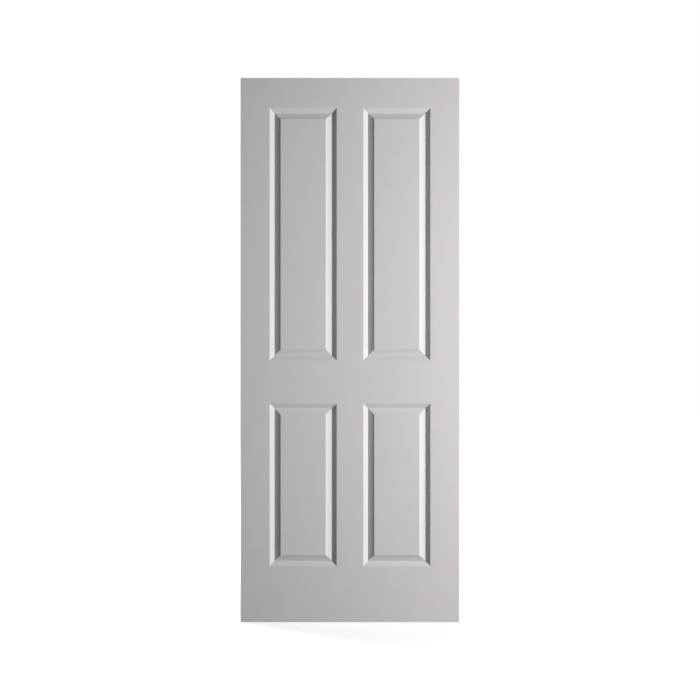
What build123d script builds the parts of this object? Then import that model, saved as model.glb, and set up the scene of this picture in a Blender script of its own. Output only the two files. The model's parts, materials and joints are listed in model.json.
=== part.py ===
from build123d import *
import os

# Panelled interior door leaf: a hollow core leaf with two pressed fibreboard skins, in millimetres.
# X runs across the width, Y through the thickness with the front face towards -Y, and Z up.
# The origin is the middle of the bottom edge. Left and right are as seen from the front.

# Leaf
LEAF_WIDTH = 820.0
LEAF_HEIGHT = 2040.0
LEAF_THICKNESS = 35.0
SKIN_THICKNESS = 3.0
EDGE_EASE = 1.0  # radius sanded round each skin's outer edge

# Layout of the face, between the outer edges of the mouldings
FACE_STILE = 109.0
FACE_MULLION = 100.0
FACE_TOP_RAIL = 113.0
FACE_LOCK_RAIL = 162.0
FACE_BOTTOM_RAIL = 210.0
LOWER_PANEL_HEIGHT = 609.0  # the upper panel takes what is left

# Section of the moulding, from the flat face in to the raised field
SLOPE_RUN = 17.5
BEVEL_RUN = 23.5
COVE_RUN = 14.0  # the last part of the bevel, which sweeps up to the field
GROOVE_DEPTH = 9.0
BEVEL_RISE = 3.0  # how far the straight part of the bevel climbs
ARRIS_RADIUS = 6.0
VALLEY_RADIUS = 1.5
FIELD_RADIUS = 1.0
MOULDING_LAND = 4.0  # flat strip pressed with the moulding on either side of it

# Timber inside the leaf
STILE_STOCK = 35.0
RAIL_STOCK = 45.0
LOCK_BLOCK_LENGTH = 600.0
LOCK_BLOCK_CENTRE = 1000.0  # height of the usual handle
LOCK_BLOCK_GAP = 8.0  # left between a lock block and the moulding

# Honeycomb of expanded paper
CELL_WIDTH = 94.0  # wished for; the cells share out the hollow evenly
CELL_HEIGHT = 108.0
PAPER_THICKNESS = 0.5
CRUSH_GAP = 0.3  # between the crushed paper and the back of the moulding

# Staples across the corner joints
STAPLE_CROWN = 26.0
STAPLE_WIRE = 1.4
STAPLE_LEG_SHARE = 0.4  # of the depth of the frame

# Sizes that follow
core_depth = LEAF_THICKNESS - 2 * SKIN_THICKNESS
hollow_width = LEAF_WIDTH - 2 * STILE_STOCK
hollow_height = LEAF_HEIGHT - 2 * RAIL_STOCK
moulding_run = SLOPE_RUN + BEVEL_RUN
knee_run = moulding_run - COVE_RUN
knee_depth = GROOVE_DEPTH - BEVEL_RISE
lock_block_width = FACE_STILE - STILE_STOCK - LOCK_BLOCK_GAP

panel_width = (LEAF_WIDTH - 2 * FACE_STILE - FACE_MULLION) / 2
upper_panel_height = (
    LEAF_HEIGHT - FACE_TOP_RAIL - FACE_LOCK_RAIL - FACE_BOTTOM_RAIL - LOWER_PANEL_HEIGHT
)
panel_offset = (FACE_MULLION + panel_width) / 2
lower_panel_centre = FACE_BOTTOM_RAIL + LOWER_PANEL_HEIGHT / 2
upper_panel_centre = LEAF_HEIGHT - FACE_TOP_RAIL - upper_panel_height / 2
panels = [
    (side * panel_offset, centre, height)
    for centre, height in (
        (upper_panel_centre, upper_panel_height),
        (lower_panel_centre, LOWER_PANEL_HEIGHT),
    )
    for side in (-1, 1)
]


def ring_round_panel(section, height):
    """Carry a section, drawn as inward run against depth, round a panel with mitred corners."""
    half_width, half_height = panel_width / 2, height / 2
    path = Polyline(
        (-half_width, 0, 0),
        (-half_width, 0, half_height),
        (half_width, 0, half_height),
        (half_width, 0, -half_height),
        (-half_width, 0, -half_height),
        close=True,
    )
    start = Plane(origin=(-half_width, 0, 0), x_dir=(1, 0, 0), z_dir=(0, 0, 1))
    return sweep(start * section, path, transition=Transition.RIGHT)


def moulding_section():
    """Section of the pressed sheet: a straight slope down, a straight bevel up and a cove to the field."""
    slope = FilletPolyline(
        (-MOULDING_LAND, 0),
        (0, 0),
        (SLOPE_RUN, GROOVE_DEPTH),
        (knee_run, knee_depth),
        radius=[ARRIS_RADIUS, VALLEY_RADIUS],
    )
    cove = TangentArc(slope @ 1, (moulding_run, 0), tangent=slope % 1)
    field = Line(cove @ 1, (moulding_run + MOULDING_LAND, 0))
    front = slope + cove + field
    back = Pos(0, SKIN_THICKNESS) * front
    ends = [Line(point, point + (0, SKIN_THICKNESS)) for point in (slope @ 0, field @ 1)]
    section = make_face([front, back, *ends])
    arrises = section.vertices().group_by(Axis.X)[-2]  # where the cove meets the field
    return fillet(arrises, FIELD_RADIUS)


def trench_section():
    """Section of the space that the moulding takes out of the core, a little clear of the sheet."""
    return Polygon(
        (-MOULDING_LAND, -SKIN_THICKNESS),
        (-MOULDING_LAND, 0),
        (SLOPE_RUN, GROOVE_DEPTH + CRUSH_GAP),
        (knee_run, knee_depth + CRUSH_GAP),
        (moulding_run + MOULDING_LAND, 0),
        (moulding_run + MOULDING_LAND, -SKIN_THICKNESS),
        align=None,
    )


def block(width, depth, height, x=0, y=0, z=0):
    """A plain block whose bottom face is centred on a point."""
    return Pos(x, y, z) * Box(width, depth, height, align=(Align.CENTER, Align.CENTER, Align.MIN))


def make_skin():
    """The front skin: a flat sheet with four pressed mouldings, each round a raised field."""
    middle = (SKIN_THICKNESS - LEAF_THICKNESS) / 2
    face = -LEAF_THICKNESS / 2
    sheet = block(LEAF_WIDTH, SKIN_THICKNESS, LEAF_HEIGHT, y=middle)
    sheet = fillet(sheet.faces().sort_by(Axis.Y)[0].edges(), EDGE_EASE)
    section = moulding_section()
    field_inset = moulding_run + MOULDING_LAND
    openings, pressed = [], []
    for x, z, height in panels:
        at = Pos(x, middle, z)
        openings.append(
            at * Box(panel_width + 2 * MOULDING_LAND, SKIN_THICKNESS, height + 2 * MOULDING_LAND)
        )
        pressed.append(
            at * Box(panel_width - 2 * field_inset, SKIN_THICKNESS, height - 2 * field_inset)
        )
        pressed.append(Pos(x, face, z) * ring_round_panel(section, height))
    return sheet - openings + pressed


def make_staples():
    """Wire staples, two across each corner joint on each face, driven flush."""
    leg_length = STAPLE_LEG_SHARE * core_depth
    leg_offset = (STAPLE_CROWN - STAPLE_WIRE) / 2
    leg = Box(STAPLE_WIRE, leg_length, STAPLE_WIRE, align=(Align.CENTER, Align.MIN, Align.CENTER))
    crown = Box(STAPLE_CROWN, STAPLE_WIRE, STAPLE_WIRE, align=(Align.CENTER, Align.MIN, Align.CENTER))
    staple = crown + [Pos(-leg_offset, 0, 0) * leg, Pos(leg_offset, 0, 0) * leg]
    heights = [RAIL_STOCK * third / 3 for third in (1, 2)]
    heights += [LEAF_HEIGHT - height for height in heights]
    front = [
        Pos(side * hollow_width / 2, -core_depth / 2, height) * staple
        for side in (-1, 1)
        for height in heights
    ]
    return front + [mirror(one, Plane.XZ) for one in front]


def make_cell(pitch_x, pitch_z):
    """One open cell: a hexagon between paper walls, single on the slants and double on the flats."""
    lean = pitch_x / 3
    slant = ((pitch_z / 2) ** 2 + lean**2) ** (1 / 2)
    tip = 2 * lean - PAPER_THICKNESS * slant / pitch_z
    flat = pitch_z / 2 - PAPER_THICKNESS
    shoulder = tip - lean * flat / (pitch_z / 2)
    return Polygon(
        (tip, 0), (shoulder, flat), (-shoulder, flat), (-tip, 0), (-shoulder, -flat), (shoulder, -flat),
        align=None,
    )


def make_core():
    """The honeycomb: paper cells through the hollow, cut round the lock blocks and crushed by the skins."""
    columns = 2 * round(hollow_width / CELL_WIDTH / 2)
    rows = round(hollow_height / CELL_HEIGHT)
    pitch_x, pitch_z = hollow_width / columns, hollow_height / rows
    cell = make_cell(pitch_x, pitch_z)
    cells = [
        Pos((column - columns / 2) * pitch_x, (row - rows / 2 + (column + 1) % 2 / 2) * pitch_z) * cell
        for column in range(columns + 1)
        for row in range(rows + column % 2)
    ]
    notches = [
        Pos(side * (hollow_width - lock_block_width) / 2, LOCK_BLOCK_CENTRE - LEAF_HEIGHT / 2)
        * Rectangle(lock_block_width, LOCK_BLOCK_LENGTH)
        for side in (-1, 1)
    ]
    paper = Rectangle(hollow_width, hollow_height) - cells - notches
    seat = Plane(origin=(0, core_depth / 2, LEAF_HEIGHT / 2), x_dir=(1, 0, 0), z_dir=(0, -1, 0))
    core = extrude(seat * paper, core_depth)
    section = trench_section()
    trenches = [
        Pos(x, -core_depth / 2, z) * ring_round_panel(section, height) for x, z, height in panels
    ]
    return core - trenches - [mirror(trench, Plane.XZ) for trench in trenches]


staples = make_staples()
front_skin = make_skin()
stile_offset = (LEAF_WIDTH - STILE_STOCK) / 2
lock_offset = (hollow_width - lock_block_width) / 2
lock_bottom = LOCK_BLOCK_CENTRE - LOCK_BLOCK_LENGTH / 2
lock_block = block(lock_block_width, core_depth, LOCK_BLOCK_LENGTH, z=lock_bottom)

nodes = {
    "front_skin": front_skin,
    "back_skin": mirror(front_skin, Plane.XZ),
    "left_stile": block(STILE_STOCK, core_depth, LEAF_HEIGHT, x=-stile_offset) - staples,
    "right_stile": block(STILE_STOCK, core_depth, LEAF_HEIGHT, x=stile_offset) - staples,
    "top_rail": block(hollow_width, core_depth, RAIL_STOCK, z=LEAF_HEIGHT - RAIL_STOCK) - staples,
    "bottom_rail": block(hollow_width, core_depth, RAIL_STOCK) - staples,
    "left_lock_block": Pos(-lock_offset, 0, 0) * lock_block,
    "right_lock_block": Pos(lock_offset, 0, 0) * lock_block,
    "honeycomb_core": make_core(),
    "corner_staples": Compound(children=staples),
}

os.makedirs("parts", exist_ok=True)
for name, shape in nodes.items():
    export_step(shape, os.path.join("parts", name + ".step"))
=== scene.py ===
"""Panelled interior door leaf: its looks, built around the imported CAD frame."""

import json
import math

import bpy
import numpy as np
from bpy.props import FloatProperty, FloatVectorProperty, PointerProperty
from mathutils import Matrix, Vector

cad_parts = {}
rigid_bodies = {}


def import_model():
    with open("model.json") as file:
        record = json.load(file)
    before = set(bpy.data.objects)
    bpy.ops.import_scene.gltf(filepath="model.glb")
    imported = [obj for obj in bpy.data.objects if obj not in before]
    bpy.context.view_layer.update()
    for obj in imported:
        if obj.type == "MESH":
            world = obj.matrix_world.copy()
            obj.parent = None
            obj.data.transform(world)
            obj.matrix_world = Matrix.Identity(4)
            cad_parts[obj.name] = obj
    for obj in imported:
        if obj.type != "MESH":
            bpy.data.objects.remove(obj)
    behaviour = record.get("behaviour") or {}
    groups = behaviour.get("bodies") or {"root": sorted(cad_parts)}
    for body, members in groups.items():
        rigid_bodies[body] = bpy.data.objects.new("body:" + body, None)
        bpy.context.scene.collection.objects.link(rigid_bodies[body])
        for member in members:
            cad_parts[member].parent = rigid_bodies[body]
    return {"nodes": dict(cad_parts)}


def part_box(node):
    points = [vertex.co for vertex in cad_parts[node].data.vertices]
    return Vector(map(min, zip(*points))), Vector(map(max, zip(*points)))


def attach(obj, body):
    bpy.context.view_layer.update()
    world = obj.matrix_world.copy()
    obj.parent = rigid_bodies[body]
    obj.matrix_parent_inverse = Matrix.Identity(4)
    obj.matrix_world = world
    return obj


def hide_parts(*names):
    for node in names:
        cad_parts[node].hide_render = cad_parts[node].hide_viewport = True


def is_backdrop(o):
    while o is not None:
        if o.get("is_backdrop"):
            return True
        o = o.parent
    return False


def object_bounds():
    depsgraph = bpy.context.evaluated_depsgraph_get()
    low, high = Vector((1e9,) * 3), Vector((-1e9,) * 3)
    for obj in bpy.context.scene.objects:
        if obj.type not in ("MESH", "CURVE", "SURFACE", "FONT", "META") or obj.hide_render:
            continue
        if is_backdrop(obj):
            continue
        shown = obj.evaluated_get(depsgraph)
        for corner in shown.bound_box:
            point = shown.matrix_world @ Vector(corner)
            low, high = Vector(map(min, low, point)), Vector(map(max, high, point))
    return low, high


bl_info = {
    "name": "Panelled Interior Door",
    "version": (1, 0, 0),
    "blender": (4, 5, 0),
    "location": "View3D > Sidebar > Door",
    "description": "Presses the skins, finishes the timber and sets the studio for a door leaf",
    "category": "Add Mesh",
}

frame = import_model()
CAD_LOW, CAD_HIGH = (tuple(corner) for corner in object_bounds())
LEAF_WIDTH, LEAF_THICKNESS, LEAF_HEIGHT = (high - low for low, high in zip(CAD_LOW, CAD_HIGH))
MM = 0.001

# Each timber's pith, in millimetres from the timber's middle, and the way that its grain runs
UPRIGHT, LEVEL = (0, 0, 0), (0, math.pi / 2, 0)
TIMBER = {
    "left_stile": ((32, -30, 60), UPRIGHT),
    "right_stile": ((78, -10, -90), UPRIGHT),
    "top_rail": ((130, 45, -40), LEVEL),
    "bottom_rail": ((-60, 50, 45), LEVEL),
    "left_lock_block": ((70, -60, 0), UPRIGHT),
    "right_lock_block": ((45, -50, 0), UPRIGHT),
}

# Place, aim and size of each lamp for the front, in metres; the back has the same lamps, turned round
LAMPS = {
    "key": ((4.5, -2.1, 1.1), (0, 0, 1.1), (0.8, 0.4)),
    "fill": ((1, -1.8, 1.2), (0.3, 0, 1.05), (1.5, 1.5)),
    "edge": ((3, 0, 1.3), (0, 0, 1), (1.5, 2.5)),
}
TOP_LAMP = (0, 0.5, 4.2), (0, 0, 2), (2, 0.6)
FILL_TINT = "#F1F6FF"  # a little cool
EVEN_LIGHT = 0.005  # strength of the light that the surround gives the leaf
FLOOR_HALF_WIDTH = 15.0


def linear(hex_colour):
    """Turn an sRGB hex colour into linear red, green and blue."""
    srgb = np.array([int(hex_colour[i : i + 2], 16) for i in (1, 3, 5)]) / 255
    return tuple(np.where(srgb <= 0.04045, srgb / 12.92, ((srgb + 0.055) / 1.055) ** 2.4))


def length(name, millimetres, description):
    """A length property whose default is given in millimetres."""
    return FloatProperty(
        name=name, description=description, default=millimetres * MM, min=0, precision=4,
        subtype="DISTANCE", unit="LENGTH",
    )


def colour(name, hex_colour, description):
    """A colour property whose default is given as sRGB hex."""
    return FloatVectorProperty(
        name=name, description=description, default=linear(hex_colour), min=0, max=1, subtype="COLOR",
    )


def power(name, watts, description):
    """A lamp's power property."""
    return FloatProperty(name=name, description=description, default=watts, min=0, unit="POWER")


class DoorFace(bpy.types.PropertyGroup):
    """Layout of the face, between the outer edges of the mouldings."""

    stile: length("Stile", 109, "Face beside the panels")
    mullion: length("Mullion", 100, "Face between the left and right panels")
    top_rail: length("Top rail", 113, "Face above the upper panels")
    lock_rail: length("Lock rail", 162, "Face between the upper and lower panels")
    bottom_rail: length("Bottom rail", 210, "Face below the lower panels")
    lower_panel: length("Lower panel", 609, "Height of a lower panel")


class DoorMoulding(bpy.types.PropertyGroup):
    """Section of the pressed moulding, from the flat face in to the raised field."""

    slope_run: length("Slope run", 17.5, "Width of the straight slope down from the face")
    bevel_run: length("Bevel run", 23.5, "Width of the bevel up to the field, with its cove")
    cove_run: length("Cove run", 14, "Width of the cove at the top of the bevel")
    depth: length("Depth", 9, "Depth of the valley below the face")
    bevel_rise: length("Bevel rise", 3, "Height that the straight part of the bevel climbs")
    arris_radius: length("Arris radius", 6, "Rounding where the face turns into the slope")
    valley_radius: length("Valley radius", 1.5, "Rounding at the bottom of the groove")
    field_radius: length("Field radius", 1, "Rounding at the edge of the field")
    land: length("Land", 4, "Flat strip pressed with the moulding on either side")
    skin: length("Skin", 3, "Thickness of the pressed sheet")
    edge_ease: length("Edge ease", 1, "Radius sanded round the skin's outer edge")


class DoorColours(bpy.types.PropertyGroup):
    """Colours of the leaf's materials."""

    primer: colour("Primer", "#C5C0C0", "Sprayed light grey primer")
    primer_thin: colour("Primer, thin", "#C3BEBE", "The same primer where the film is thinner")
    fibreboard: colour("Fibreboard", "#8C6B49", "Raw pressed fibreboard on a cut edge")
    fibreboard_dark: colour("Fibreboard, dark", "#5F442B", "Dense dark fibres in it")
    pine_early: colour("Pine, early wood", "#DDBB8A", "Pale wood between the growth rings")
    pine_late: colour("Pine, late wood", "#B98A57", "Dark wood of the growth rings")
    kraft: colour("Kraft paper", "#A98860", "Brown paper of the core")
    kraft_dark: colour("Kraft paper, dark", "#8A6A46", "Darker fibres in the paper")
    zinc: colour("Zinc", "#B7BABD", "Galvanised staple wire")


class DoorStudio(bpy.types.PropertyGroup):
    """Camera and lamps of the studio."""

    camera_distance: FloatProperty(
        name="Camera distance", description="From the lens to the front face", default=3.1,
        min=0.5, subtype="DISTANCE", unit="LENGTH",
    )
    frame_width: FloatProperty(
        name="Frame width", description="Width of the picture at the front face", default=2.623,
        min=0.5, subtype="DISTANCE", unit="LENGTH",
    )
    key_power: power("Key power", 378, "Lamp far out at the right")
    fill_power: power("Fill power", 19, "Soft panel at the right")
    top_power: power("Top power", 50, "Lamp above and behind the leaf")
    edge_power: power("Edge power", 65, "Lamp beside each long edge")


class DoorSettings(bpy.types.PropertyGroup):
    """Everything that a user would change."""

    face: PointerProperty(type=DoorFace)
    moulding: PointerProperty(type=DoorMoulding)
    colours: PointerProperty(type=DoorColours)
    studio: PointerProperty(type=DoorStudio)


# Sections


def round_corners(points, radii, steps=8):
    """Round the inner corners of a polyline.

    At each corner of turn T the arc of radius r starts r tan(T/2) before the corner, and its point at
    angle a is start + r sin(a) along + r (1 - cos(a)) towards the inside of the turn.
    """
    points = np.asarray(points, float)
    parts = [points[:1]]
    for before, corner, after, radius in zip(points, points[1:], points[2:], radii):
        along = (corner - before) / np.linalg.norm(corner - before)
        onward = (after - corner) / np.linalg.norm(after - corner)
        turn = math.atan2(along[0] * onward[1] - along[1] * onward[0], along @ onward)
        inside = np.sign(turn) * np.array([-along[1], along[0]])
        angle = np.linspace(0, abs(turn), steps + 1)[:, None]
        start = corner - along * radius * math.tan(abs(turn) / 2)
        parts.append(start + radius * (np.sin(angle) * along + (1 - np.cos(angle)) * inside))
    parts.append(points[-1:])
    return np.concatenate(parts)


def moulding_section(moulding, steps=12):
    """Section of the moulding as points of inward run and depth.

    A straight slope runs down to the valley and a straight bevel runs up from it. The cove is the arc
    that leaves the bevel at its own angle p and reaches the field: with rise h over run w its end angle
    q is 2 atan(h / w) - p and its radius is w / (sin q - sin p).
    """
    moulding_run = moulding.slope_run + moulding.bevel_run
    knee_run = moulding_run - moulding.cove_run
    knee_depth = moulding.depth - moulding.bevel_rise
    start_angle = math.atan2(moulding.bevel_rise, moulding.bevel_run - moulding.cove_run)
    end_angle = 2 * math.atan2(knee_depth, moulding.cove_run) - start_angle
    radius = moulding.cove_run / (math.sin(end_angle) - math.sin(start_angle))
    angle = np.linspace(start_angle, end_angle, steps + 1)[1:]
    cove = np.column_stack(
        (
            knee_run + radius * (np.sin(angle) - math.sin(start_angle)),
            knee_depth - radius * (math.cos(start_angle) - np.cos(angle)),
        )
    )
    slope = (-moulding.land, 0), (0, 0), (moulding.slope_run, moulding.depth)
    points = np.vstack((*slope, (knee_run, knee_depth), cove, (moulding_run + moulding.land, 0)))
    radii = [moulding.arris_radius, moulding.valley_radius] + [0] * steps + [moulding.field_radius]
    return drop_repeats(round_corners(points, radii))


def edge_section(moulding):
    """Section of the sheet's outer edge: up the cut side, then round the sanded arris on to the face."""
    points = (0, moulding.skin), (0, 0), (2 * moulding.edge_ease, 0)
    return drop_repeats(round_corners(points, [moulding.edge_ease]))


def drop_repeats(points, tolerance=1e-7):
    """Drop points that lie on the point before them."""
    apart = np.linalg.norm(np.diff(points, axis=0), axis=1) > tolerance
    return points[np.concatenate(([True], apart))]


# Surfaces


def carry(path, inward, section, depth=0.0):
    """Carry a section round a closed path in the face's plane, with mitred corners.

    The point for path point k and section point (u, v) is path[k] + u inward[k] across the face, and v
    into the leaf. Where the section runs along (du, dv), the strip's normal is dv across the face, square
    to the path, and -du into the leaf, so each mitre stays crisp. Returns quads as corner points, and a
    normal for each corner.
    """
    u, v = section[:, 0], section[:, 1] + depth
    across = path[:, None] + u[None, :, None] * inward[:, None]
    points = np.stack((across[..., 0], np.broadcast_to(v, across.shape[:2]), across[..., 1]), -1)
    onward = np.roll(points, -1, axis=0)
    quads = np.stack((points[:, :-1], onward[:, :-1], onward[:, 1:], points[:, 1:]), 2)

    ahead = np.roll(path, -1, axis=0) - path
    side = np.stack((-ahead[:, 1], ahead[:, 0]), -1) / np.linalg.norm(ahead, axis=1)[:, None]
    direction = np.empty_like(section)
    direction[1:-1] = section[2:] - section[:-2]
    direction[0], direction[-1] = section[1] - section[0], section[-1] - section[-2]
    direction /= np.linalg.norm(direction, axis=1)[:, None]
    du, dv = direction[None, :, 0], direction[None, :, 1]
    normal = np.stack((dv * side[:, :1], np.broadcast_to(-du, (len(path), len(u))), dv * side[:, 1:]), -1)
    normals = np.stack((normal[:, :-1], normal[:, :-1], normal[:, 1:], normal[:, 1:]), 2)
    return quads.reshape(-1, 4, 3), normals.reshape(-1, 4, 3)


def flat_quads(x_low, x_high, z_low, z_high, depth=0.0):
    """Flat quads at one depth that face the front, from arrays of their lower and higher edges."""
    x = np.stack((x_low, x_high, x_high, x_low), -1)
    z = np.stack((z_low, z_low, z_high, z_high), -1)
    quads = np.stack((x, np.full_like(x, depth), z), -1)
    return quads, np.broadcast_to((0.0, -1.0, 0.0), quads.shape)


def rectangle(x_low, x_high, z_low, z_high):
    """Corners of a rectangle, anticlockwise from the lower left, and the mitre direction at each."""
    path = np.array(((x_low, z_low), (x_high, z_low), (x_high, z_high), (x_low, z_high)))
    return path, np.array(((1.0, 1.0), (-1.0, 1.0), (-1.0, -1.0), (1.0, -1.0)))


def grid_border(x, z):
    """Border points of a grid of lines, anticlockwise, and the direction inwards at each.

    A point inside a side looks straight in, and a corner looks along its mitre.
    """
    low_x, high_x = np.full(len(z), x[0]), np.full(len(z), x[-1])
    low_z, high_z = np.full(len(x), z[0]), np.full(len(x), z[-1])
    sides = ((x, low_z), (high_x, z), (x[::-1], high_z), (low_x, z[::-1]))
    path = np.concatenate([np.column_stack(side)[:-1] for side in sides])
    inward_x = (path[:, 0] == x[0]).astype(float) - (path[:, 0] == x[-1])
    inward_z = (path[:, 1] == z[0]).astype(float) - (path[:, 1] == z[-1])
    return path, np.column_stack((inward_x, inward_z))


def panel_boxes(face):
    """Left, right, bottom and top of each panel, at the outer edge of its moulding."""
    width = (LEAF_WIDTH - 2 * face.stile - face.mullion) / 2
    columns = (-(face.mullion / 2 + width), face.mullion / 2)
    lower_top = face.bottom_rail + face.lower_panel
    rows = (face.bottom_rail, lower_top), (lower_top + face.lock_rail, LEAF_HEIGHT - face.top_rail)
    return np.array([(left, left + width, *row) for left in columns for row in rows])


def skin_surface(settings):
    """Front skin as quads, corner normals and a flag for raw board, with depth measured from its face.

    The pressed face is flat quads between the panels, a section carried round each panel and a flat
    field. The inside is the same surface one thickness deeper and turned round. The outer edge joins
    the two.
    """
    moulding = settings.moulding
    section, edge = moulding_section(moulding), edge_section(moulding)
    panels = panel_boxes(settings.face)
    inwards = np.array((1, -1, 1, -1))
    edges = panels - moulding.land * inwards
    fields = panels + (moulding.slope_run + moulding.bevel_run + moulding.land) * inwards
    x_lines = np.unique(np.concatenate(((-LEAF_WIDTH / 2, LEAF_WIDTH / 2), edges[:, :2].ravel())))
    z_lines = np.unique(np.concatenate(((0, LEAF_HEIGHT), edges[:, 2:].ravel())))

    # The face stops short of the outer edge, where the rim turns on to it.
    inner_x, inner_z = x_lines.copy(), z_lines.copy()
    inset = edge[-1, 0] * np.array((1, -1))
    inner_x[[0, -1]] += inset
    inner_z[[0, -1]] += inset

    sheets = []
    for x, z, depth in ((inner_x, inner_z, 0.0), (x_lines, z_lines, moulding.skin)):
        low_x, low_z = (lines.ravel() for lines in np.meshgrid(x[:-1], z[:-1]))
        high_x, high_z = (lines.ravel() for lines in np.meshgrid(x[1:], z[1:]))
        opening = np.any((low_x == edges[:, :1]) & (low_z == edges[:, 2:3]), axis=0)
        flats = (lines[~opening] for lines in (low_x, high_x, low_z, high_z))
        sheet = [flat_quads(*flats, depth), flat_quads(*fields.T, depth)]
        sheet += [carry(*rectangle(*panel), section, depth) for panel in panels]
        sheets.append([np.concatenate(arrays) for arrays in zip(*sheet)])
    (front, front_normals), (inside, inside_normals) = sheets
    border, border_inward = grid_border(x_lines, z_lines)
    rim, rim_normals = carry(border, border_inward, edge)

    quads = np.concatenate((front, inside[:, ::-1], rim))
    normals = np.concatenate((front_normals, -inside_normals[:, ::-1], rim_normals))
    cut_side = np.tile(np.arange(len(edge) - 1) == 0, len(border))
    raw = np.concatenate((np.zeros(len(front), bool), np.ones(len(inside), bool), cut_side))
    return quads, normals, raw


def mesh_from_quads(name, quads, normals, material_index, digits=7):
    """Weld quads into one mesh by merging equal corners, and keep the given corner normals."""
    corners = np.round(quads.reshape(-1, 3), digits)
    points, index = np.unique(corners, axis=0, return_inverse=True)
    mesh = bpy.data.meshes.new(name)
    mesh.from_pydata(points, [], index.reshape(-1, 4))
    mesh.polygons.foreach_set("use_smooth", np.ones(len(quads), bool))
    mesh.polygons.foreach_set("material_index", material_index.astype(np.int32))
    mesh.normals_split_custom_set(normals.reshape(-1, 3))
    return mesh


# Materials


def new_material(name):
    """An empty node material."""
    material = bpy.data.materials.new(name)
    material.use_nodes = True
    material.node_tree.nodes.clear()
    return material


def add(tree, kind, inputs=None, **settings):
    """Add a node, set its settings, and give each named input a value or a link."""
    node = tree.nodes.new("ShaderNode" + kind)
    for key, value in settings.items():
        setattr(node, key, value)
    for socket, value in (inputs or {}).items():
        if isinstance(value, bpy.types.NodeSocket):
            tree.links.new(value, node.inputs[socket])
        else:
            node.inputs[socket].default_value = value
    return node


def looking_ray(tree):
    """One for a ray that looks straight, in a mirror or through glass, and zero for other light."""
    ray = add(tree, "LightPath").outputs
    seen = add(tree, "Math", {0: ray["Is Camera Ray"], 1: ray["Is Glossy Ray"]}, operation="MAXIMUM")
    through = {0: seen.outputs["Value"], 1: ray["Is Transmission Ray"]}
    return add(tree, "Math", through, operation="MAXIMUM").outputs["Value"]


def sprayed_primer(colours):
    """Pressed hardboard with a sprayed primer: an even matt grey with a faint mottle and orange peel."""
    mottle_size, peel_size, fibre_size = 80 * MM, 3 * MM, 0.5 * MM
    material = new_material("sprayed_primer_on_hardboard")
    tree = material.node_tree
    place = add(tree, "TexCoord").outputs["Object"]
    # The film varies over a hand's breadth: barely seen in the colour, a little more in the gloss.
    mottle = add(tree, "TexNoise", {"Vector": place, "Scale": 1 / mottle_size, "Detail": 3}).outputs["Fac"]
    tone = add(tree, "MapRange", {"Value": mottle, "From Min": 0.3, "From Max": 0.7}).outputs["Result"]
    sheen = add(tree, "MapRange", {"Value": mottle, "To Min": 0.68, "To Max": 0.78}).outputs["Result"]
    # The orange peel, with the board's fibre under it, is drawn deeper than a spray gun leaves it, so that
    # it just shows close up.
    peel = add(tree, "TexNoise", {"Vector": place, "Scale": 1 / peel_size, "Detail": 2}).outputs["Fac"]
    fibre = add(tree, "TexNoise", {"Vector": place, "Scale": 1 / fibre_size, "Detail": 1}).outputs["Fac"]
    height = add(tree, "Math", {0: fibre, 1: 0.3, 2: peel}, operation="MULTIPLY_ADD").outputs["Value"]
    bump = add(tree, "Bump", {"Height": height, "Strength": 0.7, "Distance": 0.15 * MM}).outputs["Normal"]
    film = {"Factor": tone, "A": (*colours.primer_thin, 1), "B": (*colours.primer, 1)}
    paint = add(tree, "Mix", film, data_type="RGBA").outputs["Result"]
    shader = add(
        tree, "BsdfPrincipled",
        {"Base Color": paint, "Roughness": sheen, "IOR": 1.5, "Specular IOR Level": 0.2, "Normal": bump},
    )
    add(tree, "OutputMaterial", {"Surface": shader.outputs["BSDF"]})
    return material


def sawn_fibreboard(colours):
    """Raw hardboard on a sawn edge: dense brown board with short dark fibres and a dry, matt surface."""
    fleck_size, drift_size = 0.8 * MM, 40 * MM
    material = new_material("sawn_raw_fibreboard")
    tree = material.node_tree
    place = add(tree, "TexCoord").outputs["Object"]
    fleck = add(tree, "TexNoise", {"Vector": place, "Scale": 1 / fleck_size, "Detail": 4}).outputs["Fac"]
    drift = add(tree, "TexNoise", {"Vector": place, "Scale": 1 / drift_size, "Detail": 2}).outputs["Fac"]
    tone = add(tree, "Math", {0: fleck, 1: 0.7, 2: drift}, operation="MULTIPLY_ADD").outputs["Value"]
    share = add(tree, "MapRange", {"Value": tone, "From Min": 0.65, "From Max": 1.15}).outputs["Result"]
    bump = add(tree, "Bump", {"Height": fleck, "Strength": 0.5, "Distance": 0.1 * MM}).outputs["Normal"]
    fibres = {"Factor": share, "A": (*colours.fibreboard_dark, 1), "B": (*colours.fibreboard, 1)}
    board = add(tree, "Mix", fibres, data_type="RGBA").outputs["Result"]
    shader = add(
        tree, "BsdfPrincipled",
        {"Base Color": board, "Roughness": 0.8, "IOR": 1.5, "Specular IOR Level": 0.3, "Normal": bump},
    )
    add(tree, "OutputMaterial", {"Surface": shader.outputs["BSDF"]})
    return material


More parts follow.
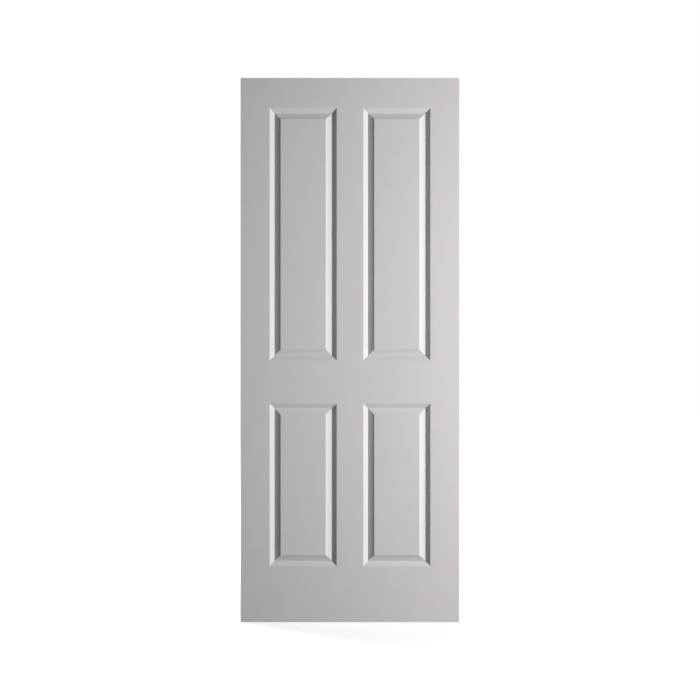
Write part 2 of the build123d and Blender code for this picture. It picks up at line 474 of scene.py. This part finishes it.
def planed_pine(name, colours, pith, turn):
    """Planed, finger-jointed pine: growth rings round a pith beside the piece, broken at zigzag joints.

    The rings are cylinders round the pith, so long faces show lines and end faces show arcs. Each length
    between joints is cut from another part of the tree, so its rings and tone jump at the joint.
    """
    ring_width, fibre_size = 3.2 * MM, 0.7 * MM
    grain_stretch = (1, 1, 0.06)  # the grain changes slowly along the timber
    joint_length, finger_length, finger_pitch = 560 * MM, 10 * MM, 4 * MM
    finger_slope = 2 * finger_length / finger_pitch
    tree_shift = (60 * MM,) * 3
    glue_reach = 0.5 * MM / joint_length  # dark to either side of a joint, as a share of a length
    wave_period = 2 * math.pi / 20  # the wave texture runs through 20 radians in a unit
    material = new_material(name)
    tree = material.node_tree
    place = add(tree, "TexCoord").outputs["Object"]
    turned = add(
        tree, "Mapping", {"Vector": place, "Location": pith, "Rotation": turn}, vector_type="TEXTURE"
    ).outputs["Vector"]
    axis = add(tree, "SeparateXYZ", {"Vector": turned}).outputs
    zigzag = add(tree, "Math", {0: axis["Y"], 1: finger_pitch / 2}, operation="PINGPONG").outputs["Value"]
    along = add(
        tree, "Math", {0: zigzag, 1: finger_slope, 2: axis["Z"]}, operation="MULTIPLY_ADD"
    ).outputs["Value"]
    piece = add(tree, "Math", {0: along, 1: joint_length}, operation="DIVIDE").outputs["Value"]
    number = add(tree, "Math", {0: piece}, operation="FLOOR").outputs["Value"]
    chance = add(tree, "TexWhiteNoise", {"W": number}, noise_dimensions="1D").outputs
    # A shift by chance takes each length from another part of the tree.
    moved = add(
        tree, "VectorMath", {0: chance["Color"], 1: tree_shift, 2: turned}, operation="MULTIPLY_ADD"
    ).outputs["Vector"]
    grain = add(tree, "VectorMath", {0: moved, 1: grain_stretch}, operation="MULTIPLY").outputs["Vector"]
    rings = add(
        tree, "TexWave",
        {
            "Vector": grain, "Scale": wave_period / ring_width,
            "Distortion": 6, "Detail": 2, "Detail Scale": 0.5,
        },
        wave_type="RINGS", rings_direction="Z", wave_profile="SAW",
    ).outputs["Fac"]
    # Late wood is a thin dark band at the end of each ring, and fine streaks run through both.
    late = add(tree, "Math", {0: rings, 1: 2.5}, operation="POWER").outputs["Value"]
    fibre = add(tree, "TexNoise", {"Vector": grain, "Scale": 1 / fibre_size, "Detail": 3}).outputs["Fac"]
    streak = add(tree, "Math", {0: fibre, 1: 0.5, 2: -0.25}, operation="MULTIPLY_ADD").outputs["Value"]
    share = add(tree, "Math", {0: late, 1: streak}, operation="ADD", use_clamp=True).outputs["Value"]
    growth = {"Factor": share, "A": (*colours.pine_early, 1), "B": (*colours.pine_late, 1)}
    wood = add(tree, "Mix", growth, data_type="RGBA").outputs["Result"]
    # Each length is a little lighter or darker, and the glued zigzag itself is a fine dark line.
    value = add(
        tree, "MapRange", {"Value": chance["Value"], "To Min": 0.86, "To Max": 1.06}
    ).outputs["Result"]
    toned = add(tree, "HueSaturation", {"Color": wood, "Value": value}).outputs["Color"]
    near = add(tree, "Math", {0: piece, 1: 0.5}, operation="PINGPONG").outputs["Value"]
    glue = add(
        tree, "MapRange",
        {"Value": near, "From Min": 0, "From Max": glue_reach, "To Min": 0.55, "To Max": 1},
    ).outputs["Result"]
    jointed = add(tree, "HueSaturation", {"Color": toned, "Value": glue}).outputs["Color"]
    bump = add(tree, "Bump", {"Height": share, "Strength": 0.3, "Distance": 0.1 * MM}).outputs["Normal"]
    shader = add(
        tree, "BsdfPrincipled",
        {"Base Color": jointed, "Roughness": 0.6, "IOR": 1.5, "Specular IOR Level": 0.4, "Normal": bump},
    )
    add(tree, "OutputMaterial", {"Surface": shader.outputs["BSDF"]})
    return material


def kraft_paper(colours):
    """Unbleached kraft paper: soft brown with long fibres and no gloss."""
    fibre_size, fibre_stretch = 0.9 * MM, (0.15, 1, 1)
    material = new_material("expanded_kraft_paper")
    tree = material.node_tree
    place = add(tree, "TexCoord").outputs["Object"]
    laid = add(tree, "VectorMath", {0: place, 1: fibre_stretch}, operation="MULTIPLY").outputs["Vector"]
    fibre = add(tree, "TexNoise", {"Vector": laid, "Scale": 1 / fibre_size, "Detail": 4}).outputs["Fac"]
    bump = add(tree, "Bump", {"Height": fibre, "Strength": 0.3, "Distance": 0.05 * MM}).outputs["Normal"]
    fibres = {"Factor": fibre, "A": (*colours.kraft_dark, 1), "B": (*colours.kraft, 1)}
    paper = add(tree, "Mix", fibres, data_type="RGBA").outputs["Result"]
    shader = add(
        tree, "BsdfPrincipled",
        {"Base Color": paper, "Roughness": 0.85, "IOR": 1.5, "Specular IOR Level": 0.25, "Normal": bump},
    )
    add(tree, "OutputMaterial", {"Surface": shader.outputs["BSDF"]})
    return material


def galvanised_wire(colours):
    """Galvanised steel wire: dull grey metal whose drawn surface varies in gloss."""
    spangle_size = 1.2 * MM
    material = new_material("galvanised_staple_wire")
    tree = material.node_tree
    place = add(tree, "TexCoord").outputs["Object"]
    spangle = add(tree, "TexVoronoi", {"Vector": place, "Scale": 1 / spangle_size}).outputs["Distance"]
    gloss = add(tree, "MapRange", {"Value": spangle, "To Min": 0.3, "To Max": 0.5}).outputs["Result"]
    shader = add(
        tree, "BsdfPrincipled", {"Base Color": (*colours.zinc, 1), "Metallic": 1, "Roughness": gloss}
    )
    add(tree, "OutputMaterial", {"Surface": shader.outputs["BSDF"]})
    return material


def studio_floor():
    """Pale studio floor: white to the camera, with the leaf's shadow left faintly on it near the leaf."""
    shadow_reach, white_reach, shadow_glow = 0.5, 1.6, 0.62
    material = new_material("pale_studio_floor")
    tree = material.node_tree
    place = add(tree, "TexCoord").outputs["Object"]
    reach = add(tree, "VectorMath", {0: place}, operation="LENGTH").outputs["Value"]
    glow = add(
        tree, "MapRange",
        {
            "Value": reach, "From Min": shadow_reach, "From Max": white_reach,
            "To Min": shadow_glow, "To Max": 1,
        },
    ).outputs["Result"]
    seen = add(tree, "Emission", {"Strength": glow}).outputs["Emission"]
    paint = add(tree, "BsdfDiffuse", {"Color": (*linear("#BCBCBC"), 1)}).outputs["BSDF"]
    # Light that bounces up from it is kept low, as over a dark floor, so it doesn't light the leaf's foot.
    bounce = add(tree, "BsdfDiffuse", {"Color": (*linear("#303030"), 1)}).outputs["BSDF"]
    lit = add(tree, "AddShader", {0: seen, 1: paint}).outputs["Shader"]
    surface = add(tree, "MixShader", {0: looking_ray(tree), 1: bounce, 2: lit}).outputs["Shader"]
    add(tree, "OutputMaterial", {"Surface": surface})
    return material


def dress(name, material):
    """Give a CAD node a material."""
    materials = frame["nodes"][name].data.materials
    materials.clear()
    materials.append(material)


# Operators


class DOOR_OT_skins(bpy.types.Operator):
    """Press the front and back skins and spray them with primer"""

    bl_idname = "door.skins"
    bl_label = "Press Skins"

    def execute(self, context):
        settings = context.scene.door
        primer, board = sprayed_primer(settings.colours), sawn_fibreboard(settings.colours)
        quads, normals, raw = skin_surface(settings)
        quads = quads - (0, LEAF_THICKNESS / 2, 0)
        flip = np.array((1, -1, 1))
        for node, points, directions in (
            ("front_skin", quads, normals),
            ("back_skin", quads[:, ::-1] * flip, normals[:, ::-1] * flip),
        ):
            name = node + "_pressed"
            mesh = mesh_from_quads(name, points, directions, raw)
            mesh.materials.append(primer)
            mesh.materials.append(board)
            skin = bpy.data.objects.new(name, mesh)
            context.scene.collection.objects.link(skin)
            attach(skin, "root")
            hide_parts(node)
        return {"FINISHED"}


class DOOR_OT_timber(bpy.types.Operator):
    """Finish the stiles, rails and lock blocks in planed pine"""

    bl_idname = "door.timber"
    bl_label = "Finish Timber"

    def execute(self, context):
        colours = context.scene.door.colours
        for name, (offset, turn) in TIMBER.items():
            pith = np.mean(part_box(name), axis=0) + np.array(offset) * MM
            dress(name, planed_pine("planed_pine_" + name, colours, pith, turn))
        return {"FINISHED"}


class DOOR_OT_core(bpy.types.Operator):
    """Finish the honeycomb core in kraft paper"""

    bl_idname = "door.core"
    bl_label = "Finish Core"

    def execute(self, context):
        dress("honeycomb_core", kraft_paper(context.scene.door.colours))
        return {"FINISHED"}


class DOOR_OT_staples(bpy.types.Operator):
    """Finish the corner staples in galvanised wire"""

    bl_idname = "door.staples"
    bl_label = "Finish Staples"

    def execute(self, context):
        dress("corner_staples", galvanised_wire(context.scene.door.colours))
        return {"FINISHED"}


class DOOR_OT_studio(bpy.types.Operator):
    """Set the floor, the lamps, the white surround and the camera"""

    bl_idname = "door.studio"
    bl_label = "Set Studio"

    def execute(self, context):
        scene, studio = context.scene, context.scene.door.studio
        floor = self.lay_floor(scene)
        # The key comes in so low across the face that it would burn out the timber edges. So it is kept
        # to the skins and the floor, and a lamp beside each long edge lights the timber alone.
        skins = [piece for piece in scene.objects if piece.name.endswith("_pressed")]
        face_only = self.gather("lit_by_key", [floor, *skins])
        edge_only = self.gather("lit_by_edge_lamps", [frame["nodes"][name] for name in TIMBER])
        lit_only = {"key": face_only, "edge": edge_only}
        for side, turn in (("front", (1, 1, 1)), ("back", (-1, -1, 1))):
            for name, (place, aim, size) in LAMPS.items():
                watts = getattr(studio, name + "_power")
                lamp = self.hang_lamp(scene, f"{side}_{name}", place, aim, size, watts, turn)
                lamp.light_linking.receiver_collection = lit_only.get(name)
                if name == "fill":
                    lamp.data.color = linear(FILL_TINT)
        self.hang_lamp(scene, "top", *TOP_LAMP, studio.top_power)
        self.surround(scene)
        self.place_camera(scene, studio)
        scene.view_settings.view_transform = "Standard"
        return {"FINISHED"}

    def lay_floor(self, scene):
        """Lay a wide square floor under the leaf."""
        corners = np.array(((-1, -1, 0), (1, -1, 0), (1, 1, 0), (-1, 1, 0))) * FLOOR_HALF_WIDTH
        mesh = bpy.data.meshes.new("floor")
        mesh.from_pydata(corners, [], [(0, 1, 2, 3)])
        mesh.materials.append(studio_floor())
        floor = bpy.data.objects.new("floor", mesh)
        scene.collection.objects.link(floor)
        floor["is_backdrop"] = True
        return floor

    def gather(self, name, members):
        """A collection of the objects that a lamp lights."""
        collection = bpy.data.collections.new(name)
        for member in members:
            collection.objects.link(member)
        return collection

    def hang_lamp(self, scene, name, place, aim, size, watts, turn=(1, 1, 1)):
        """Hang an oblong lamp, hidden from the camera. A turn multiplies its place and its aim."""
        place, aim = Vector(place) * Vector(turn), Vector(aim) * Vector(turn)
        lamp = bpy.data.lights.new(name, "AREA")
        lamp.shape, lamp.size, lamp.size_y, lamp.energy = "RECTANGLE", *size, watts
        holder = bpy.data.objects.new(name, lamp)
        holder.location = place
        holder.rotation_euler = (aim - place).to_track_quat("-Z", "Y").to_euler()
        holder.visible_camera = False
        scene.collection.objects.link(holder)
        return holder

    def surround(self, scene):
        """Make a world that looks white and hardly lights the leaf."""
        world = bpy.data.worlds.new("white_surround")
        world.use_nodes = True
        tree = world.node_tree
        tree.nodes.clear()
        # Other rays get only a little even light, so that no side of the leaf goes black.
        pure_white = (1, 1, 1, 1)
        dim = add(tree, "Background", {"Color": pure_white, "Strength": EVEN_LIGHT}).outputs["Background"]
        white = add(tree, "Background", {"Color": pure_white, "Strength": 1}).outputs["Background"]
        mixed = add(tree, "MixShader", {0: looking_ray(tree), 1: dim, 2: white}).outputs["Shader"]
        add(tree, "OutputWorld", {"Surface": mixed})
        scene.world = world

    def place_camera(self, scene, studio):
        """Set the camera square on to the middle of the front face."""
        camera = bpy.data.cameras.new("camera")
        camera.sensor_width = 36
        camera.lens = camera.sensor_width * studio.camera_distance / studio.frame_width
        holder = bpy.data.objects.new("camera", camera)
        holder.location = (0, -LEAF_THICKNESS / 2 - studio.camera_distance, LEAF_HEIGHT / 2)
        holder.rotation_euler = (math.pi / 2, 0, 0)
        scene.collection.objects.link(holder)
        scene.camera = holder


class DOOR_PT_panel(bpy.types.Panel):
    """Sizes, colours and steps of the door leaf"""

    bl_idname = "DOOR_PT_panel"
    bl_label = "Panelled Interior Door"
    bl_space_type = "VIEW_3D"
    bl_region_type = "UI"
    bl_category = "Door"

    def draw(self, context):
        """Show every property in a box for its group, then a button for each step."""
        for group in ("face", "moulding", "colours", "studio"):
            values = getattr(context.scene.door, group)
            box = self.layout.box()
            box.label(text=group.capitalize())
            for name in values.__annotations__:
                box.prop(values, name)
        for operator in OPERATORS:
            self.layout.operator(operator.bl_idname)


GROUPS = (DoorFace, DoorMoulding, DoorColours, DoorStudio, DoorSettings)
OPERATORS = (DOOR_OT_skins, DOOR_OT_timber, DOOR_OT_core, DOOR_OT_staples, DOOR_OT_studio)
CLASSES = (*GROUPS, *OPERATORS, DOOR_PT_panel)


def register():
    """Register the classes and give each scene the door's settings."""
    for cls in CLASSES:
        bpy.utils.register_class(cls)
    bpy.types.Scene.door = PointerProperty(type=DoorSettings)


def unregister():
    """Take away what register adds."""
    del bpy.types.Scene.door
    for cls in reversed(CLASSES):
        bpy.utils.unregister_class(cls)


def main():
    """Build the leaf and its studio."""
    register()
    bpy.ops.door.skins()
    bpy.ops.door.timber()
    bpy.ops.door.core()
    bpy.ops.door.staples()
    bpy.ops.door.studio()


if __name__ == "__main__":
    main()
